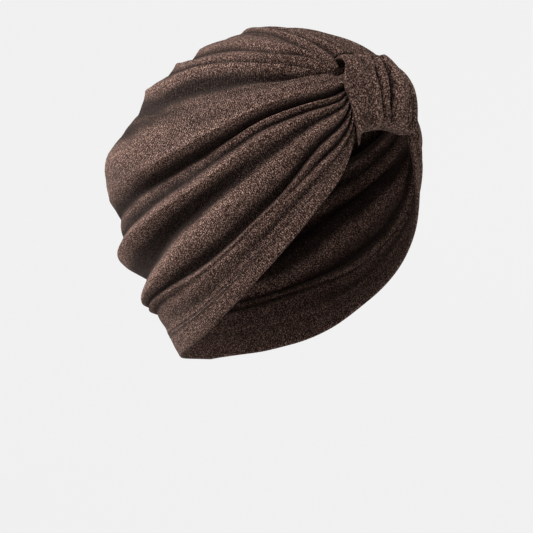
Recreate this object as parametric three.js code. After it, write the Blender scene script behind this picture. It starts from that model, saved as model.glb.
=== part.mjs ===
// A pre-sewn jersey turban in its worn form, in millimetres.
// +Z is up, the front faces -Y and the wearer's right is -X.
// The origin is on the inside of the crown, where the top of the head bears.
//
// The cloth lies on a smooth form: flat ovals below, a dome above.
// Loops of cloth run from the knot, round each side, to the middle of the back.
// Each fold line is one such loop, with its own height over the form.

import * as THREE from "three";

// Cloth
const CLOTH_WALL = 2;
const HEM_TURN_UP = 0.6;
const PIECE_GAP = 0.4;

// The form at its widest level
const FORM_HALF_WIDTH = 78;
const FORM_FRONT = 94;
const FORM_BACK = 100;
const CROWN_RISE = 86;
const LOWER_FALL = 150;
const OVAL_POWER = 2.35;

// Hem, over and under the widest level
const HEM_FRONT_RISE = 32;
const HEM_BACK_FALL = 121;

// Folds
const FOLD_HEIGHT = 5;

// The top of the gathered cloth at the knot, the edge of the crown panel
// behind it, and that panel's end at the back, in degrees from straight up
const GATHER_TOP_ANGLE = 51.5;
const PANEL_FRONT_ANGLE = 50;
const PANEL_BACK_ANGLE = -14;

// Knot
const KNOT_LIFT = 3;
const BAND_HALF_WIDTH = 28;
const BAND_CLOTH = 2.5;
const BAND_SWELL = 7;
const BAND_END_SWELL = 0.35;

// How tightly the band draws the loops together, the opening's length beyond
// the band and the lift's end, as shares of the way from the knot to the back
const GATHER_TIGHTNESS = 0.9;
const GATHER_REACH = 1.4;
const OPENING_BEYOND_BAND = 0.038;
const LIFT_BEYOND_BAND = 0.25;

// Mesh steps
const OPENING_STEPS = 5;
const SIDE_STEPS = 19;
const STEPS_PER_FOLD = 2;
const BAND_LEG_STEPS = 8;
const BAND_ARC_STEPS = 4;
const BAND_STEPS_PER_FOLD = 2;

// Reckoning
const HALF_TURN = Math.PI;
const QUARTER_TURN = HALF_TURN / 2;
const HALVINGS = 30;
const HEM_STEPS = 360;
const NORMAL_STEP = 0.5;
const DOWN_STEP = 0.05;
const SAME_PLACE = 0.001;

// Ovals under the widest level, from it down.
// fall is a share of LOWER_FALL, the rest are shares of the widest oval.
const LOWER_OVALS = [
  { fall: 0.0, front: 1.0, back: 1.0, width: 1.0 },
  { fall: 0.2, front: 0.99, back: 0.97, width: 0.987 },
  { fall: 0.4, front: 0.957, back: 0.89, width: 0.942 },
  { fall: 0.6, front: 0.872, back: 0.69, width: 0.82 },
  { fall: 0.8, front: 0.723, back: 0.49, width: 0.68 },
  { fall: 1.0, front: 0.574, back: 0.36, width: 0.564 },
];

// How square the dome is, by turn from the front as a share of half a turn.
const DOME_POWERS = [
  { turn: 0.0, power: 2.3 },
  { turn: 0.25, power: 2.15 },
  { turn: 0.5, power: 1.93 },
  { turn: 0.75, power: 1.62 },
  { turn: 1.0, power: 1.62 },
];

// The hem: turn from the front as a share of half a turn, and its fall as a
// share of the way from the front level to the back level.
const HEM_LINE = [
  { turn: 0.0, fall: 0.0 },
  { turn: 0.05, fall: 0.01 },
  { turn: 0.086, fall: 0.039 },
  { turn: 0.111, fall: 0.196 },
  { turn: 0.167, fall: 0.356 },
  { turn: 0.222, fall: 0.49 },
  { turn: 0.278, fall: 0.607 },
  { turn: 0.361, fall: 0.739 },
  { turn: 0.5, fall: 0.876 },
  { turn: 0.639, fall: 0.948 },
  { turn: 0.778, fall: 0.984 },
  { turn: 1.0, fall: 1.0 },
];

// Where the fold lines are given, as shares of the way from the knot to the
// middle of the back. The knot's own station is where the band holds them.
const STATION_NAMES = ["knot", "front", "side", "rear", "nape", "back"];
const STATIONS_BEYOND_KNOT = [0.22, 0.42, 0.66, 0.84, 1.0];

// Fold lines of one side, from the middle of the crown down to the hem.
// The columns are places: -1 in the middle of the crown panel, 0 at the
// panel's edge and 1 at the hem.
const FOLD_PLACES = [
  { name: "crown line", knot: -1, front: -1, side: -1, rear: -1, nape: -1, back: -1 },
  { name: "crown ridge", knot: -0.65, front: -0.6, side: -0.6, rear: -0.6, nape: -0.6, back: -0.6 },
  { name: "crown crease", knot: -0.4, front: -0.38, side: -0.36, rear: -0.36, nape: -0.36, back: -0.36 },
  { name: "second ridge", knot: -0.2, front: -0.2, side: -0.16, rear: -0.16, nape: -0.16, back: -0.16 },
  { name: "panel edge", knot: 0, front: 0, side: 0, rear: 0, nape: 0, back: 0 },
  { name: "third ridge", knot: 0.025, front: 0.06, side: 0.155, rear: 0.12, nape: 0.12, back: 0.15 },
  { name: "third crease", knot: 0.045, front: 0.095, side: 0.178, rear: 0.155, nape: 0.155, back: 0.195 },
  { name: "fourth ridge", knot: 0.07, front: 0.15, side: 0.205, rear: 0.204, nape: 0.199, back: 0.25 },
  { name: "fourth crease", knot: 0.09, front: 0.222, side: 0.247, rear: 0.222, nape: 0.235, back: 0.29 },
  { name: "thin fold", knot: 0.112, front: 0.237, side: 0.26, rear: 0.24, nape: 0.305, back: 0.35 },
  { name: "upper crease", knot: 0.135, front: 0.252, side: 0.319, rear: 0.302, nape: 0.37, back: 0.41 },
  { name: "big fold top", knot: 0.165, front: 0.272, side: 0.345, rear: 0.363, nape: 0.43, back: 0.47 },
  { name: "big fold", knot: 0.25, front: 0.335, side: 0.39, rear: 0.44, nape: 0.53, back: 0.57 },
  { name: "big fold edge", knot: 0.34, front: 0.396, side: 0.434, rear: 0.515, nape: 0.6, back: 0.65 },
  { name: "deep crease", knot: 0.39, front: 0.426, side: 0.456, rear: 0.544, nape: 0.65, back: 0.7 },
  { name: "narrow fold", knot: 0.465, front: 0.456, side: 0.476, rear: 0.575, nape: 0.67, back: 0.72 },
  { name: "narrow crease", knot: 0.505, front: 0.484, side: 0.506, rear: 0.61, nape: 0.71, back: 0.755 },
  { name: "middle fold", knot: 0.545, front: 0.512, side: 0.536, rear: 0.655, nape: 0.742, back: 0.79 },
  { name: "broad valley", knot: 0.595, front: 0.55, side: 0.604, rear: 0.702, nape: 0.825, back: 0.845 },
  { name: "wide fold", knot: 0.645, front: 0.59, side: 0.665, rear: 0.785, nape: 0.872, back: 0.88 },
  { name: "lower crease", knot: 0.715, front: 0.669, side: 0.787, rear: 0.862, nape: 0.885, back: 0.893 },
  { name: "lower fold", knot: 0.765, front: 0.698, side: 0.806, rear: 0.877, nape: 0.893, back: 0.903 },
  { name: "short crease", knot: 0.84, front: 0.772, side: 0.823, rear: 0.886, nape: 0.905, back: 0.915 },
  { name: "last fold", knot: 0.89, front: 0.806, side: 0.84, rear: 0.895, nape: 0.918, back: 0.927 },
  { name: "dip by the seam", knot: 0.935, front: 0.85, side: 0.875, rear: 0.918, nape: 0.938, back: 0.946 },
  { name: "hem seam", knot: 0.968, front: 0.885, side: 0.9, rear: 0.945, nape: 0.962, back: 0.966 },
  { name: "hem edge", knot: 1, front: 1, side: 1, rear: 1, nape: 1, back: 1 },
];

// Heights of the same fold lines over the form, as shares of FOLD_HEIGHT.
const FOLD_HEIGHTS = [
  { name: "crown line", knot: 0, front: 0, side: 0, rear: 0, nape: 0.2, back: 0.2 },
  { name: "crown ridge", knot: 0.5, front: 0.5, side: 0.4, rear: 0.3, nape: 0.2, back: 0.2 },
  { name: "crown crease", knot: 0.1, front: 0.1, side: 0.1, rear: 0.1, nape: 0.2, back: 0.2 },
  { name: "second ridge", knot: 0.5, front: 0.5, side: 0.5, rear: 0.4, nape: 0.2, back: 0.2 },
  { name: "panel edge", knot: 0.2, front: 0.2, side: 0.2, rear: 0.2, nape: 0.2, back: 0.2 },
  { name: "third ridge", knot: 0.4, front: 0.5, side: 0.6, rear: 0.5, nape: 0.5, back: 0.5 },
  { name: "third crease", knot: 0.1, front: 0.1, side: 0.25, rear: 0.25, nape: 0.2, back: 0.1 },
  { name: "fourth ridge", knot: 0.4, front: 0.5, side: 0.6, rear: 0.7, nape: 0.6, back: 0.5 },
  { name: "fourth crease", knot: 0.1, front: 0.1, side: 0.4, rear: 0.5, nape: 0.4, back: 0.2 },
  { name: "thin fold", knot: 0.3, front: 0.3, side: 0.66, rear: 0.76, nape: 0.76, back: 0.6 },
  { name: "upper crease", knot: 0.1, front: 0, side: -0.2, rear: -0.2, nape: 0.1, back: 0.1 },
  { name: "big fold top", knot: 0.5, front: 0.5, side: 0.45, rear: 0.5, nape: 0.35, back: 0.4 },
  { name: "big fold", knot: 0.7, front: 1, side: 1, rear: 0.9, nape: 0.95, back: 0.9 },
  { name: "big fold edge", knot: 0.7, front: 1, side: 1.1, rear: 1.1, nape: 0.75, back: 0.8 },
  { name: "deep crease", knot: -0.1, front: -0.5, side: -0.5, rear: -0.4, nape: 0.1, back: 0.1 },
  { name: "narrow fold", knot: 0.4, front: 0.6, side: 0.5, rear: 0, nape: 0.22, back: 0.2 },
  { name: "narrow crease", knot: 0, front: 0.1, side: 0.1, rear: 0.2, nape: 0.1, back: 0.1 },
  { name: "middle fold", knot: 0.5, front: 0.6, side: 0.8, rear: 0.9, nape: 0.9, back: 0.8 },
  { name: "broad valley", knot: 0.2, front: 0.3, side: 0.1, rear: -0.3, nape: -0.5, back: -0.3 },
  { name: "wide fold", knot: 0.6, front: 0.8, side: 0.9, rear: 0.8, nape: 0.72, back: 0.6 },
  { name: "lower crease", knot: -0.1, front: -0.4, side: -0.4, rear: -0.1, nape: 0.3, back: 0.3 },
  { name: "lower fold", knot: 0.4, front: 0.6, side: 0.6, rear: 0.6, nape: 0.5, back: 0.45 },
  { name: "short crease", knot: 0, front: 0, side: 0.6, rear: 0.6, nape: 0.1, back: 0.1 },
  { name: "last fold", knot: 0.5, front: 0.6, side: 0.66, rear: 0.56, nape: 0.15, back: 0.15 },
  { name: "dip by the seam", knot: 0.2, front: 0.2, side: 0.2, rear: 0.2, nape: -0.35, back: -0.2 },
  { name: "hem seam", knot: 0.25, front: 0.3, side: 0.3, rear: 0.3, nape: -0.3, back: -0.1 },
  { name: "hem edge", knot: 0.2, front: 0.2, side: 0.2, rear: 0.2, nape: 0.2, back: 0.2 },
];

// Fold lines of the band, from its edge on the wearer's right to its left edge.
// top, front and foot: place across the band's front, -1 to 1 of BAND_HALF_WIDTH.
// back: the same behind the gathered cloth.
// swell: height over the band's flat cloth, as a share of BAND_SWELL.
const BAND_FOLDS = [
  { name: "right edge", top: -0.66, front: -0.96, foot: -0.95, back: -0.6, swell: 0 },
  { name: "flat panel", top: -0.6, front: -0.88, foot: -0.88, back: -0.54, swell: 0.1 },
  { name: "panel end", top: -0.04, front: -0.3, foot: -0.34, back: -0.22, swell: 0.5 },
  { name: "first crease", top: 0.02, front: -0.25, foot: -0.28, back: -0.15, swell: 0.3 },
  { name: "first fold", top: 0.07, front: -0.1, foot: -0.2, back: -0.05, swell: 0.7 },
  { name: "second crease", top: 0.13, front: 0.05, foot: -0.08, back: 0.05, swell: 0.5 },
  { name: "roll", top: 0.22, front: 0.32, foot: 0.2, back: 0.2, swell: 1 },
  { name: "third crease", top: 0.32, front: 0.56, foot: 0.44, back: 0.34, swell: 0.62 },
  { name: "outer roll", top: 0.4, front: 0.85, foot: 0.76, back: 0.46, swell: 0.6 },
  { name: "left edge", top: 0.5, front: 1, foot: 0.92, back: 0.56, swell: 0 },
];

// A smooth curve through rows of x and y that never overshoots them.
function smoothRows(xs, ys) {
  const slopes = xs.slice(1).map((x, i) => (ys[i + 1] - ys[i]) / (x - xs[i]));
  const tangents = xs.map((_, i) => {
    const before = slopes[Math.max(i - 1, 0)];
    const after = slopes[Math.min(i, slopes.length - 1)];
    return before * after <= 0 ? 0 : (2 * before * after) / (before + after);
  });
  return (x) => {
    const at = Math.min(Math.max(x, xs[0]), xs[xs.length - 1]);
    let i = 0;
    while (i < xs.length - 2 && at > xs[i + 1]) i += 1;
    const width = xs[i + 1] - xs[i];
    const t = (at - xs[i]) / width;
    const first = (1 + 2 * t) * (1 - t) ** 2 * ys[i] + t ** 2 * (3 - 2 * t) * ys[i + 1];
    return first + t * (1 - t) * width * ((1 - t) * tangents[i] - t * tangents[i + 1]);
  };
}

// One column of a table, times the size that its shares are of.
const column = (rows, key, size = 1) => rows.map((row) => row[key] * size);

const falls = column(LOWER_OVALS, "fall", LOWER_FALL);
const frontReach = smoothRows(falls, column(LOWER_OVALS, "front", FORM_FRONT));
const backReach = smoothRows(falls, column(LOWER_OVALS, "back", FORM_BACK));
const sideReach = smoothRows(falls, column(LOWER_OVALS, "width", FORM_HALF_WIDTH));
const domePower = smoothRows(column(DOME_POWERS, "turn", HALF_TURN), column(DOME_POWERS, "power"));
const hemFall = smoothRows(
  column(HEM_LINE, "turn", HALF_TURN),
  column(HEM_LINE, "fall", HEM_FRONT_RISE + HEM_BACK_FALL),
);

const formCentre = new THREE.Vector3(0, 0, CLOTH_WALL - CROWN_RISE);

// 1 on the form, less inside it. x, forward and level are measured from the
// form's centre.
function formValue(x, forward, level) {
  const fall = Math.max(-level, 0);
  const length = forward > 0 ? frontReach(fall) : backReach(fall);
  const across = (Math.abs(x) / sideReach(fall)) ** OVAL_POWER;
  const along = (Math.abs(forward) / length) ** OVAL_POWER;
  const oval = (across + along) ** (1 / OVAL_POWER);
  if (level <= 0) return oval;
  const power = domePower(Math.atan2(Math.abs(x), forward));
  return (oval ** power + (level / CROWN_RISE) ** power) ** (1 / power);
}

// Where a value that grows from 0 to the given end comes to 1.
function whereOne(value, end) {
  let low = 0;
  let high = end;
  for (let i = 0; i < HALVINGS; i += 1) {
    const middle = (low + high) / 2;
    if (value(middle) < 1) low = middle;
    else high = middle;
  }
  return (low + high) / 2;
}

// Where a ray from the form's axis, or its centre, meets the form.
function meetForm(direction, start = [0, 0, 0]) {
  const at = (r) => direction.map((value, i) => start[i] + value * r);
  const farOut = FORM_HALF_WIDTH + FORM_FRONT + FORM_BACK + CROWN_RISE + LOWER_FALL;
  return at(whereOne((r) => formValue(...at(r)), farOut));
}

// The form's outward direction at a point, both as [x, forward, level].
function formNormal(point) {
  const slope = (axis) => {
    const ahead = formValue(...point.map((value, i) => value + (i === axis ? NORMAL_STEP : 0)));
    const behind = formValue(...point.map((value, i) => value - (i === axis ? NORMAL_STEP : 0)));
    return ahead - behind;
  };
  const n = [slope(0), slope(1), slope(2)];
  const length = Math.hypot(...n);
  return n.map((value) => value / length);
}

function hemPoint(turn) {
  const level = HEM_FRONT_RISE - hemFall(turn);
  return meetForm([Math.sin(turn), Math.cos(turn), 0], [0, 0, level]);
}

// The hem's length on one side, and its turn at any share of that length.
function paceHem() {
  const turns = Array.from({ length: HEM_STEPS + 1 }, (_, i) => (HALF_TURN * i) / HEM_STEPS);
  const points = turns.map(hemPoint);
  const lengths = [0];
  for (let i = 1; i <= HEM_STEPS; i += 1) {
    const [a, b] = [points[i - 1], points[i]];
    lengths.push(lengths[i - 1] + Math.hypot(a[0] - b[0], a[1] - b[1], a[2] - b[2]));
  }
  const length = lengths[HEM_STEPS];
  const shares = lengths.map((value) => value / length);
  return { length, turnAt: smoothRows(shares, turns) };
}

const hem = paceHem();
const gatherShare = (GATHER_TIGHTNESS * BAND_HALF_WIDTH) / hem.length;
const openingShare = gatherShare + OPENING_BEYOND_BAND;
const liftShare = gatherShare + LIFT_BEYOND_BAND;

// A fold table as one smooth curve a row, by share of the way to the back.
function foldCurves(table, size = 1) {
  const stations = [gatherShare, ...STATIONS_BEYOND_KNOT];
  return table.map((row) => smoothRows(stations, STATION_NAMES.map((name) => row[name] * size)));
}

const foldPlaces = foldCurves(FOLD_PLACES);
const foldHeights = foldCurves(FOLD_HEIGHTS, FOLD_HEIGHT);
const panelEdgeFold = FOLD_PLACES.findIndex((row) => row.name === "panel edge");
const lastFold = FOLD_PLACES.length - 1;

// A place of the flat map of the form, whose distances from its middle are
// angles from straight up, in degrees to the left and to the front.
function mapToForm(left, front) {
  const angle = THREE.MathUtils.degToRad(Math.hypot(left, front));
  const heading = Math.atan2(left, front);
  const reach = Math.sin(angle);
  return meetForm([reach * Math.sin(heading), reach * Math.cos(heading), Math.cos(angle)]);
}

// The panel's half width on the map, wide enough for the band to pass.
const bandReach = BAND_HALF_WIDTH * Math.max(...column(BAND_FOLDS, "front"));
const panelHalfAngle = whereOne(
  (left) => mapToForm(left, PANEL_FRONT_ANGLE)[0] / (bandReach + PIECE_GAP),
  PANEL_FRONT_ANGLE,
);

// The edge of the crown panel on the flat map. It first goes along the top of
// the gathered cloth, and then back round the crown.
function panelEdge(along) {
  if (along < gatherShare) {
    const turn = (QUARTER_TURN * along) / gatherShare;
    const front = THREE.MathUtils.lerp(PANEL_FRONT_ANGLE, GATHER_TOP_ANGLE, Math.cos(turn));
    return [panelHalfAngle * Math.sin(turn), front];
  }
  const turn = (QUARTER_TURN * (along - gatherShare)) / (1 - gatherShare);
  const front = THREE.MathUtils.lerp(PANEL_FRONT_ANGLE, PANEL_BACK_ANGLE, Math.sin(turn));
  return [panelHalfAngle * Math.cos(turn), front];
}

// A place on the form, on the wearer's left. along runs from the knot to the
// back, down as in FOLD_PLACES. The panel's edge and the hem are blended on
// the flat map.
function formPoint(along, down) {
  const [x, forward, level] = hemPoint(hem.turnAt(along));
  const hemAngle = THREE.MathUtils.radToDeg(Math.atan2(Math.hypot(x, forward), level));
  const hemHeading = Math.atan2(x, forward);
  const [edgeLeft, edgeFront] = panelEdge(along);
  const below = Math.max(down, 0);
  const inPanel = 1 + Math.min(down, 0);
  const left = THREE.MathUtils.lerp(edgeLeft, hemAngle * Math.sin(hemHeading), below);
  const front = THREE.MathUtils.lerp(edgeFront, hemAngle * Math.cos(hemHeading), below);
  return mapToForm(inPanel * left, front);
}

// How far the knot lifts the cloth off the forehead, most at its top.
function knotLift(along, down) {
  const fade = 1 - THREE.MathUtils.smoothstep(along, gatherShare, liftShare);
  return KNOT_LIFT * fade * (1 - Math.max(down, 0));
}

// A point of the cloth, on the form plus a height. side is 1 for the wearer's
// left and -1 for the right.
function clothPoint(side, along, down, height) {
  const onForm = formPoint(along, down);
  const normal = formNormal(onForm);
  const out = height + knotLift(along, down);
  const [x, forward, level] = onForm.map((value, i) => value + normal[i] * out);
  return new THREE.Vector3(side * x, -forward, level).add(formCentre);
}

// Collects corners and faces of one closed skin. Corners at one place are one.
class Skin {
  constructor() {
    this.places = [];
    this.known = new Map();
    this.corners = [];
  }

  corner(point) {
    const key = point.toArray().map((value) => Math.round(value / SAME_PLACE)).join();
    if (!this.known.has(key)) {
      this.known.set(key, this.places.length / 3);
      this.places.push(point.x, point.y, point.z);
    }
    return this.known.get(key);
  }

  triangle(a, b, c) {
    if (a !== b && b !== c && c !== a) this.corners.push(a, b, c);
  }

  // A four-sided face whose corners run anticlockwise seen from outside.
  quad(a, b, c, d) {
    this.triangle(a, b, c);
    this.triangle(a, c, d);
  }

  geometry() {
    const geometry = new THREE.BufferGeometry();
    geometry.setAttribute("position", new THREE.Float32BufferAttribute(this.places, 3));
    geometry.setIndex(this.corners);
    geometry.computeVertexNormals();
    return geometry;
  }
}

const easeInOut = (t) => t * t * (3 - 2 * t);

// Shares along a loop, with a step at the end of the opening behind the knot.
function alongSteps() {
  const opening = Array.from({ length: OPENING_STEPS }, (_, i) => (openingShare * i) / OPENING_STEPS);
  const side = Array.from({ length: SIDE_STEPS + 1 }, (_, i) =>
    THREE.MathUtils.lerp(openingShare, 1, i / SIDE_STEPS),
  );
  return [...opening, ...side];
}

// Place and height of the cloth at each step down, at one share along.
function downSteps(along) {
  return Array.from({ length: lastFold * STEPS_PER_FOLD + 1 }, (_, i) => {
    const fold = Math.min(Math.floor(i / STEPS_PER_FOLD), lastFold - 1);
    const t = i / STEPS_PER_FOLD - fold;
    const [above, below] = [fold, fold + 1];
    return {
      down: THREE.MathUtils.lerp(foldPlaces[above](along), foldPlaces[below](along), t),
      height: THREE.MathUtils.lerp(foldHeights[above](along), foldHeights[below](along), easeInOut(t)),
      wall: below === lastFold ? CLOTH_WALL + HEM_TURN_UP : CLOTH_WALL,
    };
  });
}

// One side of the turban's cloth, as an outer and an inner face joined at the
// hem and round the opening behind the knot.
function addSide(skin, side) {
  const alongs = alongSteps();
  const edge = panelEdgeFold * STEPS_PER_FOLD;
  const corner = (along, down, height) => skin.corner(clothPoint(side, along, down, height));
  const outer = alongs.map((along) =>
    downSteps(along).map(({ down, height }) => corner(along, down, height)),
  );
  const inner = alongs.map((along) =>
    downSteps(along).map(({ down, height, wall }) => corner(along, down, height - wall)),
  );
  const face = (a, b, c, d) => (side > 0 ? skin.quad(a, b, c, d) : skin.quad(d, c, b, a));
  const last = outer[0].length - 1;
  for (let i = 0; i < alongs.length - 1; i += 1) {
    const byOpening = i < OPENING_STEPS;
    for (let j = byOpening ? edge : 0; j < last; j += 1) {
      face(outer[i][j], outer[i][j + 1], outer[i + 1][j + 1], outer[i + 1][j]);
      face(inner[i][j], inner[i + 1][j], inner[i + 1][j + 1], inner[i][j + 1]);
    }
    face(outer[i][last], inner[i][last], inner[i + 1][last], outer[i + 1][last]);
    if (byOpening) face(outer[i][edge], outer[i + 1][edge], inner[i + 1][edge], inner[i][edge]);
  }
  const rim = OPENING_STEPS;
  for (let j = 0; j < edge; j += 1) {
    face(outer[rim][j + 1], outer[rim][j], inner[rim][j], inner[rim][j + 1]);
  }
}

// The cloth of the turban: two sides that meet in the middle of the front, the
// crown and the back.
function wrapGeometry() {
  const skin = new Skin();
  addSide(skin, 1);
  addSide(skin, -1);
  return skin.geometry();
}

// Heights over the form that clear the gathered cloth, where the band holds it.
const gathered = foldHeights.map((height) => height(gatherShare));
const bandOuterHeight = Math.max(...gathered) + PIECE_GAP;
const bandInnerHeight = Math.min(...gathered) - CLOTH_WALL - HEM_TURN_UP - PIECE_GAP;

// The share along a loop at which the gathered cloth lies at a place across.
function alongAt(across, down) {
  const end = gatherShare * THREE.MathUtils.lerp(1, GATHER_REACH, down);
  const wanted = Math.max(Math.abs(across), SAME_PLACE);
  return whereOne((along) => formPoint(along, down)[0] / wanted, end);
}

// A point of the band's inner face, and the way out of the band there.
// round runs once round the gathered cloth: 0 to 1 down its front, 1 to 2 under
// it, 2 to 3 up its back and 3 to 4 over its top.
function bandPoint(across, round) {
  const side = across < 0 ? -1 : 1;
  const place = (down, height) => clothPoint(side, alongAt(across, down), down, height);
  const leg = Math.floor(round) % 4;
  const t = round - Math.floor(round);
  const down = [t, 1, 1 - t, 0][leg];
  const out = place(down, bandOuterHeight).sub(place(down, bandInnerHeight)).normalize();
  if (leg === 0) return { point: place(down, bandOuterHeight), out };
  if (leg === 2) return { point: place(down, bandInnerHeight), out: out.negate() };
  const middle = place(down, (bandOuterHeight + bandInnerHeight) / 2);
  const radius = (bandOuterHeight - bandInnerHeight) / 2;
  const beyond = middle.clone().sub(place(Math.abs(down - DOWN_STEP), (bandOuterHeight + bandInnerHeight) / 2));
  beyond.addScaledVector(out, -beyond.dot(out)).normalize();
  const angle = HALF_TURN * (leg === 1 ? t : t - 1);
  out.multiplyScalar(Math.cos(angle)).addScaledVector(beyond, Math.abs(Math.sin(angle)));
  return { point: middle.addScaledVector(out, radius), out };
}

// How much of the band's swell is left at a share of the way round.
function swellAt(round) {
  if (round < 1) return THREE.MathUtils.lerp(BAND_END_SWELL, 1, Math.sin(HALF_TURN * round));
  return BAND_END_SWELL * Math.max(0, Math.cos(HALF_TURN * (round - 1)));
}

// Place across the band of one of its fold lines, at a share of the way round.
const bandPlaces = BAND_FOLDS.map(({ top, front, foot, back }) =>
  smoothRows([0, 0.5, 1, 2, 3, 4], [top, front, foot, back, back, top]),
);

// One section of the band: pairs of inner and outer corners, right to left.
function bandRing(skin, round) {
  const last = BAND_FOLDS.length - 1;
  return Array.from({ length: last * BAND_STEPS_PER_FOLD + 1 }, (_, i) => {
    const fold = Math.min(Math.floor(i / BAND_STEPS_PER_FOLD), last - 1);
    const t = i / BAND_STEPS_PER_FOLD - fold;
    const across = THREE.MathUtils.lerp(bandPlaces[fold](round), bandPlaces[fold + 1](round), t);
    const swell = THREE.MathUtils.lerp(BAND_FOLDS[fold].swell, BAND_FOLDS[fold + 1].swell, easeInOut(t));
    const { point, out } = bandPoint(across * BAND_HALF_WIDTH, round);
    const inner = skin.corner(point);
    const thickness = BAND_CLOTH + BAND_SWELL * swell * swellAt(round);
    return { inner, outer: skin.corner(point.addScaledVector(out, thickness)) };
  });
}

// The band: a loop of gathered cloth round the front of the turban.
function bandGeometry() {
  const skin = new Skin();
  const legSteps = [BAND_LEG_STEPS, BAND_ARC_STEPS, BAND_LEG_STEPS, BAND_ARC_STEPS];
  const rounds = legSteps.flatMap((steps, leg) => Array.from({ length: steps }, (_, i) => leg + i / steps));
  const rings = rounds.map((round) => bandRing(skin, round));
  const last = rings[0].length - 1;
  for (let k = 0; k < rings.length; k += 1) {
    const here = rings[k];
    const next = rings[(k + 1) % rings.length];
    for (let i = 0; i < last; i += 1) {
      skin.quad(here[i].outer, next[i].outer, next[i + 1].outer, here[i + 1].outer);
      skin.quad(here[i].inner, here[i + 1].inner, next[i + 1].inner, next[i].inner);
    }
    skin.quad(here[0].inner, next[0].inner, next[0].outer, here[0].outer);
    skin.quad(here[last].outer, next[last].outer, next[last].inner, here[last].inner);
  }
  return skin.geometry();
}

const wrapMaterial = new THREE.MeshStandardMaterial({ color: 0x4a3730, roughness: 0.95, metalness: 0 });
const bandMaterial = new THREE.MeshStandardMaterial({ color: 0x523e36, roughness: 0.95, metalness: 0 });

const turban = new THREE.Group();

const wrapBody = new THREE.Mesh(wrapGeometry(), wrapMaterial);
wrapBody.name = "wrap_body";
turban.add(wrapBody);

const knotBand = new THREE.Mesh(bandGeometry(), bandMaterial);
knotBand.name = "knot_band";
turban.add(knotBand);

export default turban;
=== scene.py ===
"""A pre-sewn turban of brown heather jersey in its worn form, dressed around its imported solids.

Lengths are in metres. +Z is up, the front faces -Y and the wearer's right is -X. The cloth lies on a
smooth form. Loops of cloth run from the knot, round each side, to the middle of the back, and each
row of FOLDS is one such loop with its own height over the form.
"""

import logging
import math
from dataclasses import dataclass, field
from enum import Enum
from functools import cached_property
from typing import Any, Callable, Sequence

import bmesh
import bpy
import numpy as np
from mathutils import Matrix, Vector


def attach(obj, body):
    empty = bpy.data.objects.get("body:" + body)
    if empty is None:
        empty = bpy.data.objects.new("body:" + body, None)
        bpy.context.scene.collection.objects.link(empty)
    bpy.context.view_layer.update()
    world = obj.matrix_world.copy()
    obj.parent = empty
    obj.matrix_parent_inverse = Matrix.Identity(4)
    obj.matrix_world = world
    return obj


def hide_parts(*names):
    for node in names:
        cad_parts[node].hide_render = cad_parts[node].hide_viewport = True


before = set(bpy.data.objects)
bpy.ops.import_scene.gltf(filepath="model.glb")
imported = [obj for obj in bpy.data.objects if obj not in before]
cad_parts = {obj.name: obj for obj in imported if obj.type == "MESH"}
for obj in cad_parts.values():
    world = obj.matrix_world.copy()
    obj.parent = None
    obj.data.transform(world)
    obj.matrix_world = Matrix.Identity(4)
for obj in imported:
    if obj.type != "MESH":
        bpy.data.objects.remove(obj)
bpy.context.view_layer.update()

logging.basicConfig(level=logging.INFO, format="%(message)s")
log = logging.getLogger("turban")

MM = 0.001
SAME_PLACE = 0.01 * MM
BODY = "root"
# Slope at a sharp line, against the mean slope from one line to the next
CRISP_SLOPE = 1.7
Curve = Callable[[np.ndarray], np.ndarray]


class Side(Enum):
    """The two sides of the turban, by the sign of x."""

    LEFT = 1
    RIGHT = -1


def smooth_rows(xs: Sequence[float], ys: Sequence[float]) -> Curve:
    """A smooth curve through rows of x and y that never overshoots them.

    Args:
        xs: growing places of the rows.
        ys: their values.
    Returns:
        A function of an array of places.
    """
    x, y = np.asarray(xs, float), np.asarray(ys, float)
    slope = np.diff(y) / np.diff(x)
    before, after = np.append(slope[0], slope), np.append(slope, slope[-1])
    same_way = before * after > 0
    tangent = np.where(same_way, 2 * before * after / np.where(same_way, before + after, 1), 0)

    def curve(at: np.ndarray) -> np.ndarray:
        """The curve's value at each place."""
        place = np.clip(at, x[0], x[-1])
        i = np.clip(np.searchsorted(x, place) - 1, 0, len(x) - 2)
        width = x[i + 1] - x[i]
        t = (place - x[i]) / width
        value = (1 + 2 * t) * (1 - t) ** 2 * y[i] + t**2 * (3 - 2 * t) * y[i + 1]
        return value + t * (1 - t) * width * ((1 - t) * tangent[i] - t * tangent[i + 1])

    return curve


def where_one(value: Curve, end: np.ndarray) -> np.ndarray:
    """Where a value that grows from 0 to the given end comes to 1."""
    halvings = 26
    low, high = np.zeros_like(end), end.copy()
    for _ in range(halvings):
        middle = (low + high) / 2
        inside = value(middle) < 1
        low, high = np.where(inside, middle, low), np.where(inside, high, middle)
    return (low + high) / 2


def lerp(a: Any, b: Any, t: Any) -> Any:
    """The value a share t of the way from a to b."""
    return a + (b - a) * t


def crisp_step(t: np.ndarray, start: float, end: float) -> np.ndarray:
    """A share from 0 to 1 whose slopes at its start and end are given."""
    return t * t * (3 - 2 * t) + start * t * (1 - t) ** 2 - end * t * t * (1 - t)


def ease(t: np.ndarray) -> np.ndarray:
    """A share that starts and ends gently, held between 0 and 1."""
    u = np.clip(t, 0, 1)
    return u * u * (3 - 2 * u)


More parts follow.
